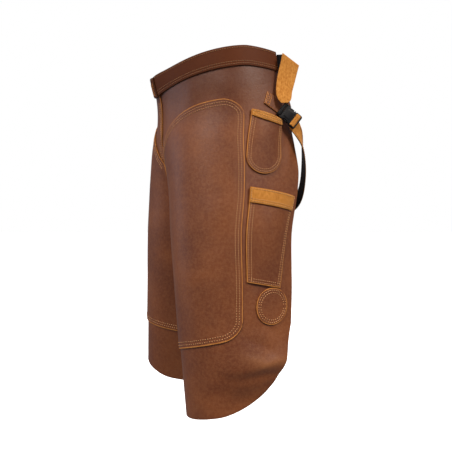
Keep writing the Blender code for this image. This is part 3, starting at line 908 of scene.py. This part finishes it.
def add_waistband(side):
    lap_step = 1.0 / 32

    def surface(s, z, out=0.0):
        rise = LEATHER + LAYER_GAP + lap_rise(side, s, z) + out
        return skin(side, s, z, rise + climb(s, front_edge(z) + (LAP if side > 0 else 0.001)))

    def on_band(s, z, lift):
        return surface(s, z, LEATHER + lift)

    def place(u, v):
        s = across(side, u, lap_step, np.zeros_like(u), BAND_END)
        z = waist_line(s) + BAND_HEIGHT * (0.5 - v)
        s = across(side, u, lap_step, z, BAND_END)
        return flat_points(s, z), surface(s, z)

    cut_out(
        f"{label(side)}_waistband", f"waistband_{label(side)}", "leather", 160, 20, place,
        LEATHER, BAND_FACES, side, rests_on=[f"{label(side)}_leg"],
    )
    top, foot = border(place, "top"), border(place, "foot")
    rows = [inside(top, BAND_ROWS[0])] + [inside(foot, inset) for inset in BAND_ROWS]
    sew(f"{label(side)}_waistband_stitches", on_band, rows, THREAD_BROWN)
    if side < 0:
        near, far = (rows[0][0][0] + way for way in LAP_BOX)
        low, high = LAP_BOX_HEIGHTS
        box = [
            ((near, low), (near, high)),
            ((far, low), (far, high)),
            ((near, low), (far, high)),
            ((near, high), (far, low)),
        ]
        lines = [np.linspace(a, b, 30) for a, b in box]
        sew("waistband_box_stitches", on_band, lines, THREAD_ORANGE)


def add_patch(side):
    def place(u, v):
        u = even_curve(u)
        v = 0.75 * v + 0.25 * v * v
        lift = 0.0 if side > 0 else RIGHT_PATCH_LIFT
        corner = PATCH_CORNER / PATCH_WIDTH
        past = np.maximum(u - (1.0 - corner), 0.0) / corner
        turn = PATCH_CORNER * (1.0 - np.sqrt(np.maximum(1.0 - past * past, 0.0)))
        top = read(PATCH_TOP, u, 1) - turn
        foot = PATCH_FOOT + lift + PATCH_FOOT_SLOPE * PATCH_WIDTH * u + turn * 0.9
        z = blend(top, foot, v)
        s = blend(inner_edge(side, z) + PATCH_INSET, PATCH_EDGE, u)
        return flat_points(s, z), on_panel(side, LEATHER + PATCH_GAP)(s, z)

    name = f"{label(side)}_thigh_patch"
    cut_out(
        name, f"thigh_patch_{label(side)}", "leather", 120, 130, place, LEATHER, LEATHER_FACES, side,
        rests_on=[f"{label(side)}_leg"], raw=(PATCH_WIDTH, PATCH_LENGTH),
    )
    edge = border(place, "top", "back", "foot", samples=400)
    rows = [inside(edge, inset) for inset in PATCH_ROWS]
    sew(f"{name}_stitches", on_panel(side, 2.0 * LEATHER + PATCH_GAP), rows, THREAD_TAN, trim=0.004)


def mound(u):
    """1 in the middle of a pocket's width and 0 at its sewn edges."""
    return np.maximum(1.0 - (2.0 * u - 1.0) ** 2, 0.0) ** 0.75


def small_pocket_shape(u, v):
    mouth = SMALL_POCKET_MOUTH[0] + SMALL_POCKET_MOUTH[1] * u
    turn = 1.0 - np.sqrt(np.maximum(1.0 - 0.985 * (2.0 * u - 1.0) ** 2, 0.0))
    z = blend(mouth, SMALL_POCKET_FOOT + SMALL_POCKET_ROUND * turn, v)
    down = (z - SMALL_POCKET_MOUTH[0]) / (SMALL_POCKET_FOOT - SMALL_POCKET_MOUTH[0])
    s = blend(blend(*SMALL_POCKET_FRONT, down), blend(*SMALL_POCKET_BACK, down), u)
    return s, z


def long_pocket_shape(u, v):
    mouth = LONG_POCKET_MOUTH[0] + LONG_POCKET_MOUTH[1] * u
    foot = LONG_POCKET_FOOT[0] + LONG_POCKET_FOOT[1] * u
    z = blend(mouth, foot, v)
    s = blend(blend(*LONG_POCKET_FRONT, v), blend(*LONG_POCKET_BACK, v), u)
    return s, z


def pocket_surface(shape, bulge, depth, out=0.0):
    """The bulging surface over a pocket, to be moved out along its own normal. Its shares u and v are found
    again from (s, z) in a few steps."""

    def surface(s, z):
        s, z = (np.array(value, float) for value in np.broadcast_arrays(s, z))
        u, v = np.full_like(s, 0.5), np.full_like(s, 0.5)
        for _ in range(6):
            left, right = shape(u * 0.0, v)[0], shape(u * 0.0 + 1.0, v)[0]
            u = np.clip((s - left) / (right - left), 0.0, 1.0)
            top, foot = shape(u, v * 0.0)[1], shape(u, v * 0.0 + 1.0)[1]
            v = (z - top) / (foot - top)
        rise = bulge * mound(u) * ease(depth - v)
        return skin(1, s, z, LEATHER + LAYER_GAP + out + rise)

    def moved(s, z, lift):
        step = 1e-4
        along = surface(s + step, z) - surface(s - step, z)
        upward = surface(s, z + step) - surface(s, z - step)
        normal = np.cross(along, upward)
        return surface(s, z) + normal / np.linalg.norm(normal, axis=1)[:, None] * lift

    return moved


def add_pocket(name, node, shape, bulge, depth, band_depth, band_overhang, columns, rows):
    """A pocket with its suede band. The bulge flattens towards depth, a share of the pocket's height, and so
    are the band's depth and its overhang at the sides."""

    def place(u, v, out=0.0):
        s, z = shape(u, v)
        rise = bulge * mound(u) * ease(depth - v)
        return flat_points(s, z), skin(1, s, z, LEATHER + LAYER_GAP + out + rise)

    def place_band(u, v):
        u = blend(-band_overhang, 1.0 + band_overhang, u)
        v = (band_depth + POCKET_BAND_ABOVE) * v - POCKET_BAND_ABOVE
        return place(u, v, LEATHER + LAYER_GAP)

    cut_out(
        name, node, "leather", columns, rows, place, LEATHER, LEATHER_FACES,
        rests_on=["left_leg"], raw=POCKET_SIZE,
    )
    cut_out(
        f"{name}_suede_band", f"{node}_band", "suede", columns, 16, place_band, LEATHER, SUEDE_FACES,
        rests_on=[name],
    )
    surface = pocket_surface(shape, bulge, depth)
    on_band = pocket_surface(shape, bulge, depth, LEATHER + LAYER_GAP)
    edges = ("back", "foot", "front")
    # The small pocket's foot is round, so its rows run on from edge to edge.
    runs = [edges] if node == "small_pocket" else [(edge,) for edge in edges]
    lines = [inside(border(place, *run), inset) for run in runs for inset in POCKET_ROWS]
    sew(f"{name}_stitches", lambda s, z, lift: surface(s, z, LEATHER + lift), lines, THREAD_TAN, trim=0.003)
    lines = [inside(border(place_band, edge), SUEDE_BAND_ROWS[0]) for edge in ("top", *edges)]
    lines.append(inside(border(place_band, "foot"), SUEDE_BAND_ROWS[1]))
    sew(
        f"{name}_band_stitches", lambda s, z, lift: on_band(s, z, LEATHER + lift), lines, THREAD_BAND,
        trim=0.003,
    )


def add_disc():
    def place(u, v):
        x, y = 2.0 * u - 1.0, 1.0 - 2.0 * v
        round_x, round_y = x * np.sqrt(1.0 - 0.49 * y * y), y * np.sqrt(1.0 - 0.49 * x * x)
        s = DISC_CENTRE[0] + DISC_RADIUS * round_x
        z = DISC_CENTRE[1] + DISC_RADIUS * round_y
        return flat_points(s, z), skin(1, s, z, LEATHER + LAYER_GAP)

    cut_out(
        "round_patch_piece", "round_patch", "leather", 60, 60, place, LEATHER, LEATHER_FACES,
        rests_on=["left_leg"], raw=(2.0 * DISC_RADIUS, 2.0 * DISC_RADIUS),
    )
    turn = np.linspace(0.0, 2.0 * math.pi, 200)
    rows = []
    for inset in DISC_ROWS:
        radius = DISC_RADIUS - inset
        s, z = DISC_CENTRE[0] + radius * np.cos(turn), DISC_CENTRE[1] + radius * np.sin(turn)
        rows.append(flat_points(s, z))
    sew("round_patch_stitches", on_panel(1, 2.0 * LEATHER + LAYER_GAP), rows, THREAD_TAN)


def add_tab(side):
    slope = math.radians(TAB_SLOPE)

    def on_tab(run, over):
        s = TAB_START[0] + run * math.cos(slope) - over * math.sin(slope)
        z = TAB_START[1] + run * math.sin(slope) + over * math.cos(slope)
        return flat_points(s, z)

    def place(u, v):
        flat = on_tab(TAB_LENGTH * u, TAB_WIDTH * (0.5 - v))
        return flat, skin(side, flat[:, 0], flat[:, 1], LEATHER + LAYER_GAP)

    name = f"{label(side)}_hip_tab"
    cut_out(
        name, f"hip_tab_{label(side)}", "leather", 30, 20, place, LEATHER, LEATHER_FACES, side,
        rests_on=[f"{label(side)}_leg"],
    )
    near, far = TAB_SEAM
    half = 0.5 * TAB_WIDTH - near
    corners = ((near, half), (near, -half), (far, -half), (far, half))
    turns = corners + ((near, half), (far, -half), (near, -half), (far, half))
    rows = []
    for (x0, y0), (x1, y1) in zip(turns, turns[1:]):
        t = np.linspace(0.0, 1.0, 20)
        rows.append(on_tab(blend(x0, x1, t), blend(y0, y1, t)))
    sew(f"{name}_stitches", on_panel(side, 2.0 * LEATHER + LAYER_GAP), rows, THREAD_ORANGE)


def smooth_path(table, t):
    """The points on the smooth curve through a table's rows, t from 0 to 1."""
    rows = [(k / (len(table) - 1),) + tuple(row) for k, row in enumerate(table)]
    return [read(rows, t, column) for column in range(1, len(rows[0]))]


def path_length(table):
    points = np.stack(smooth_path(table, np.linspace(0.0, 1.0, 400))[:3], axis=-1)
    return np.linalg.norm(np.diff(points, axis=0), axis=1).sum()


def ribbon(table, width, side):
    """A strap along a path, with its face turned as the path's table says."""
    length = path_length(table)

    def place(u, v, out=0.0):
        step = 1e-3
        x, y, z, facing = smooth_path(table, u)
        before = np.stack(smooth_path(table, np.maximum(u - step, 0.0))[:3], axis=-1)
        after = np.stack(smooth_path(table, np.minimum(u + step, 1.0))[:3], axis=-1)
        facing = np.radians(facing)
        outward = np.stack((np.cos(facing), np.sin(facing), np.zeros_like(facing)), axis=-1)
        up = np.cross(outward, after - before)
        up /= np.linalg.norm(up, axis=1)[:, None]
        points = np.stack((x, y, z), axis=-1) + up * (width * (0.5 - v))[:, None] + outward * out
        points[:, 0] *= side
        return flat_points(u * length, width * (0.5 - v)), points

    return place, length


def add_straps(side):
    place, length = ribbon(LEG_STRAP_PATH, LEG_STRAP_WIDTH, side)
    name = f"{label(side)}_leg_strap"
    node = f"leg_strap_{label(side)}"
    cut_out(
        f"{name}_webbing", f"{node}_webbing", "webbing", 200, 6, place, WEBBING, WEBBING_FACES, side,
    )
    cut_out(
        f"{name}_suede", f"{node}_suede", "suede", 200, 6, place, STRAP_LEATHER, SUEDE_FACES, side,
        out=WEBBING + SEAM_GAP,
    )
    across_rows = (0.5 * LEG_STRAP_WIDTH - STRAP_ROW, STRAP_ROW - 0.5 * LEG_STRAP_WIDTH)
    along = np.linspace(STRAP_TRIM, length - STRAP_TRIM, 400)

    def on_strap(s, z, lift):
        return place(s / length, 0.5 - z / LEG_STRAP_WIDTH, WEBBING + SEAM_GAP + STRAP_LEATHER + lift)[1]

    sew(f"{name}_stitches", on_strap, [flat_points(along, over) for over in across_rows], THREAD_BROWN)

    place, length = ribbon(WAIST_BELT_PATH, BELT_WIDTH, side)
    cut_out(
        f"{label(side)}_waist_belt", f"waist_belt_{label(side)}", "webbing", 100, 8, place, BELT_THICK,
        WEBBING_FACES, side,
    )


def add_belt_tail():
    """The belt's free end: black webbing out of the waistband, folded over and hanging suede side out."""
    side_way = np.array((0.250, 0.968, 0.0))
    length = path_length(TAIL_PATH)

    def hang(u, v):
        *middle, width = smooth_path(TAIL_PATH, v)
        points = np.stack(middle, axis=-1) + side_way * (width * (u - 0.5))[:, None]
        points[:, 2] -= TAIL_SLANT * (u - 0.5) * (1.0 - v)
        return flat_points(width * (u - 0.5), -length * v), points

    def root(u, v):
        z = BELT_WIDTH * (0.5 - v)
        start = skin(1, read(BACK_EDGE, z, 1) + 0.0100, z, 0.0012)
        end = hang(np.full_like(u, 0.10), 0.22 * v)[1] - (0.0012, 0.0, 0.0)
        reach = np.linalg.norm(end - start, axis=1).mean()
        return flat_points(u * reach, z), blend(start, end, u[:, None])

    cut_out("belt_free_end", "belt_tail", "suede", 30, 80, hang, STRAP, SUEDE_FACES)
    cut_out("belt_webbing", "belt_tail_root", "webbing", 24, 24, root, BELT_THICK, WEBBING_FACES)


def buckle_frame(head, foot, outward):
    """Axes of a buckle: x along the strap, y across it, z out from the body."""
    along = (foot - head).normalized()
    across_way = outward.cross(along).normalized()
    out = along.cross(across_way).normalized()
    axes = Matrix((along, across_way, out)).transposed().to_4x4()
    axes.translation = head
    return axes


def moulding(name, node, plates, axes):
    """A moulding with rounded edges, from flat plates. Each plate has its outlines, thickness and lift."""
    mesh = bmesh.new()
    for loops, thickness, lift in plates:
        curve = bpy.data.curves.new(name, "CURVE")
        curve.dimensions = "2D"
        curve.fill_mode = "BOTH"
        curve.extrude = 0.5 * thickness
        for loop in loops:
            spline = curve.splines.new("POLY")
            spline.points.add(len(loop) - 1)
            for point, (x, y) in zip(spline.points, loop):
                point.co = (x, y, 0.0, 1.0)
            spline.use_cyclic_u = True
        data = mesh_from(curve)
        data.transform(Matrix.Translation((0.0, 0.0, lift)))
        mesh.from_mesh(data)
    bmesh.ops.remove_doubles(mesh, verts=mesh.verts, dist=1e-6)
    bmesh.ops.recalc_face_normals(mesh, faces=mesh.faces)
    bmesh.ops.transform(mesh, matrix=axes, verts=mesh.verts)
    piece = finish_piece(name, mesh, [ACETAL])
    rounded = piece.modifiers.new("rounding", "BEVEL")
    rounded.width = MOULD_ROUNDING
    rounded.segments = 3
    rounded.limit_method = "ANGLE"
    rounded.angle_limit = math.radians(25.0)
    declare(piece, node, "plastic")


def plate(x0, x1, half, corner, steps=4):
    """The outline of a plate with round corners, half wide each side of the strap's middle."""
    centres = ((x1, half, 0.0), (x0, half, 0.5), (x0, -half, 1.0), (x1, -half, 1.5))
    points = []
    for x, y, quarter in centres:
        centre_x = x - math.copysign(corner, x - 0.5 * (x0 + x1))
        centre_y = y - math.copysign(corner, y)
        for k in range(steps + 1):
            turn = math.pi * (quarter + 0.5 * k / steps)
            points.append((centre_x + corner * math.cos(turn), centre_y + corner * math.sin(turn)))
    return points


def add_loop(name, axes, bar_middle, bar_width, bar_thickness, width, slot, faces):
    """The end of a strap, turned round a bar of the buckle."""
    half_x, half_z = 0.5 * bar_width + SEAM_GAP, 0.5 * bar_thickness + SEAM_GAP
    around = 4.0 * (half_x + half_z)

    def place(u, v):
        turn = 2.0 * math.pi * u
        sine, cosine = np.sin(turn), np.cos(turn)
        x = bar_middle - half_x * np.sign(sine) * np.abs(sine) ** 0.6
        z = -half_z * np.sign(cosine) * np.abs(cosine) ** 0.6
        y = width * (0.5 - v)
        turned = np.array(axes.to_3x3())
        points = np.stack((x, y, z), axis=-1) @ turned.T + np.array(axes.translation)
        return flat_points(around * u, y), points

    cut_out(name, None, slot, 32, 10, place, STRAP_LEATHER, faces)


def add_buckle(name, node, head, foot, outward, width, head_strap, foot_strap):
    """A side-release buckle, fastened: the socket, the plug with its bars, and the straps' ends on them."""
    axes = buckle_frame(head, foot, outward)
    half = 0.5 * width
    notch_start, notch_end = NOTCH
    upper = [
        (0.0, half - CORNER), (CORNER, half), (notch_start - CORNER, half),
        (notch_start, half - NOTCH_DEPTH), (notch_end, half - NOTCH_DEPTH),
        (notch_end + CORNER, half - 0.5 * CORNER), (SOCKET_LENGTH, half - CORNER),
    ]
    lower = [(x, -y) for x, y in reversed(upper)]
    bar = plate(SLOT_WALL, SLOT_WALL + SLOT, half - CORNER, SLOT_CORNER)
    field = plate(SLOT_WALL + SLOT + 0.0050, SOCKET_LENGTH - 0.0030, half - FIELD_SIDE, FIELD_CORNER)
    moulding(
        f"{name}_body", f"{node}_socket",
        [([upper + lower, bar], BUCKLE_THICK, 0.0), ([field], FIELD_THICK, 0.5 * BUCKLE_THICK)], axes,
    )
    start = SOCKET_LENGTH + SEAM_GAP
    end = start + PLUG_LENGTH
    slots = [
        plate(start + SLOT_WALL, start + SLOT_WALL + SLOT, half - CORNER, SLOT_CORNER),
        plate(end - SLOT_WALL - SLOT, end - SLOT_WALL, half - CORNER, SLOT_CORNER),
    ]
    plug = plate(start, end, half, PLUG_CORNER)
    plug_thick = PLUG_SHARE * BUCKLE_THICK
    moulding(f"{name}_bars", f"{node}_plug", [([plug, *slots], plug_thick, 0.0)], axes)
    strap_width = width - 2.0 * CORNER - 0.0010
    head_width = SLOT_WALL + 0.3 * SLOT
    add_loop(f"{name}_head", axes, 0.5 * head_width, head_width, BUCKLE_THICK, strap_width, *head_strap)
    # The strap fills both of the plug's slots and covers the bar between them.
    bar_width = PLUG_LENGTH - 2.0 * (SLOT_WALL + SLOT) + SLOT
    add_loop(f"{name}_foot", axes, 0.5 * (start + end), bar_width, plug_thick, strap_width, *foot_strap)


def add_buckles():
    for side in (1, -1):
        flip = Vector((side, 1.0, 1.0))
        add_buckle(
            f"{label(side)}_strap_buckle", f"leg_buckle_{label(side)}",
            BUCKLE_HEAD * flip, BUCKLE_FOOT * flip, BUCKLE_FACING * flip, BUCKLE_WIDTH,
            ("webbing", WEBBING_FACES), ("suede", SUEDE_FACES),
        )
    half = 0.5 * (SOCKET_LENGTH + PLUG_LENGTH)
    belt_y, belt_z = WAIST_BELT_PATH[-1][1:3]
    middle = Vector((0.0, belt_y + BELT_THICK + SEAM_GAP + 0.5 * BUCKLE_THICK, belt_z))
    reach = Vector((half, 0.0, 0.0))
    add_buckle(
        "belt_buckle", "waist_buckle", middle + reach, middle - reach, Vector((0.0, 1.0, 0.0)),
        WAIST_BUCKLE_WIDTH, ("webbing", WEBBING_FACES), ("webbing", WEBBING_FACES),
    )


def finish_carried_nodes():
    """The catches stay as the frame has them and only get their finish."""
    for name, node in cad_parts.items():
        if "catch" in name:
            node.data.materials.clear()
            node.data.materials.append(ACETAL)


def add_light(name, place, size, power, colour):
    light = bpy.data.lights.new(name, "AREA")
    light.shape = "DISK"
    light.size = size
    light.energy = power
    light.color = linear(colour)[:3]
    lamp = add_object(name, light)
    lamp.location = place
    lamp.rotation_euler = (Vector(place) - Vector(LIGHT_AIM)).to_track_quat("Z", "Y").to_euler()


def add_studio():
    """A plain white floor and surround, which light nothing, and soft lights."""
    mesh = bmesh.new()
    bmesh.ops.create_circle(mesh, cap_ends=True, segments=96, radius=FLOOR_RADIUS)
    bmesh.ops.translate(mesh, verts=mesh.verts, vec=(0.0, 0.0, FLOOR_HEIGHT))
    paper, _, _ = new_material(
        "white_paper", Base_Color=linear("#f4f4f4"), Roughness=0.9, Emission_Color=linear("#ffffff"),
        Emission_Strength=1.0,
    )
    floor = finish_piece("floor", mesh, [paper])
    floor.visible_diffuse = False
    floor.visible_glossy = False
    floor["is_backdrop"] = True

    world = bpy.data.worlds.new("studio")
    bpy.context.scene.world = world
    world.use_nodes = True
    tree = world.node_tree
    seen = add_node(tree, "ShaderNodeBackground", {"Color": linear("#ffffff"), "Strength": 1.0})
    soft = tree.nodes["Background"]
    soft.inputs["Color"].default_value = linear("#f4f1ff")
    soft.inputs["Strength"].default_value = AMBIENT
    ray = add_node(tree, "ShaderNodeLightPath")
    both = add_node(
        tree, "ShaderNodeMixShader",
        {0: ray.outputs["Is Camera Ray"], 1: soft.outputs["Background"], 2: seen.outputs["Background"]},
    )
    tree.links.new(both.outputs["Shader"], tree.nodes["World Output"].inputs["Surface"])

    for light in LIGHTS:
        add_light(*light)
    bpy.context.scene.view_settings.view_transform = "Standard"


def add_camera():
    turn = math.radians(VIEW_AZIMUTH)
    back = Vector((math.sin(turn), -math.cos(turn), 0.0))
    right = Vector((math.cos(turn), math.sin(turn), 0.0))
    lens = bpy.data.cameras.new("camera")
    lens.lens = VIEW_LENS
    lens.sensor_width = VIEW_SENSOR
    camera = add_object("camera", lens)
    camera.matrix_world = Matrix((right, Vector((0.0, 0.0, 1.0)), back)).transposed().to_4x4()
    camera.location = back * VIEW_DISTANCE + right * VIEW_SIDESTEP + Vector((0.0, 0.0, VIEW_HEIGHT))
    bpy.context.scene.camera = camera


def build():
    for side in (1, -1):
        add_panel(side)
        add_waistband(side)
        add_patch(side)
        add_tab(side)
        add_straps(side)
    add_pocket(
        "small_pocket_piece", "small_pocket", small_pocket_shape, SMALL_POCKET_BULGE,
        depth=1.15, band_depth=0.116, band_overhang=0.0, columns=60, rows=60,
    )
    add_pocket(
        "long_pocket_piece", "long_pocket", long_pocket_shape, LONG_POCKET_BULGE,
        depth=1.25, band_depth=0.157, band_overhang=0.008, columns=60, rows=80,
    )
    add_disc()
    add_belt_tail()
    add_buckles()
    finish_carried_nodes()
    add_studio()
    add_camera()


build()

boxes = {"cad": cad_box, "scene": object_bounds()}
{name: [[float(x) for x in corner] for corner in box] for name, box in boxes.items()}
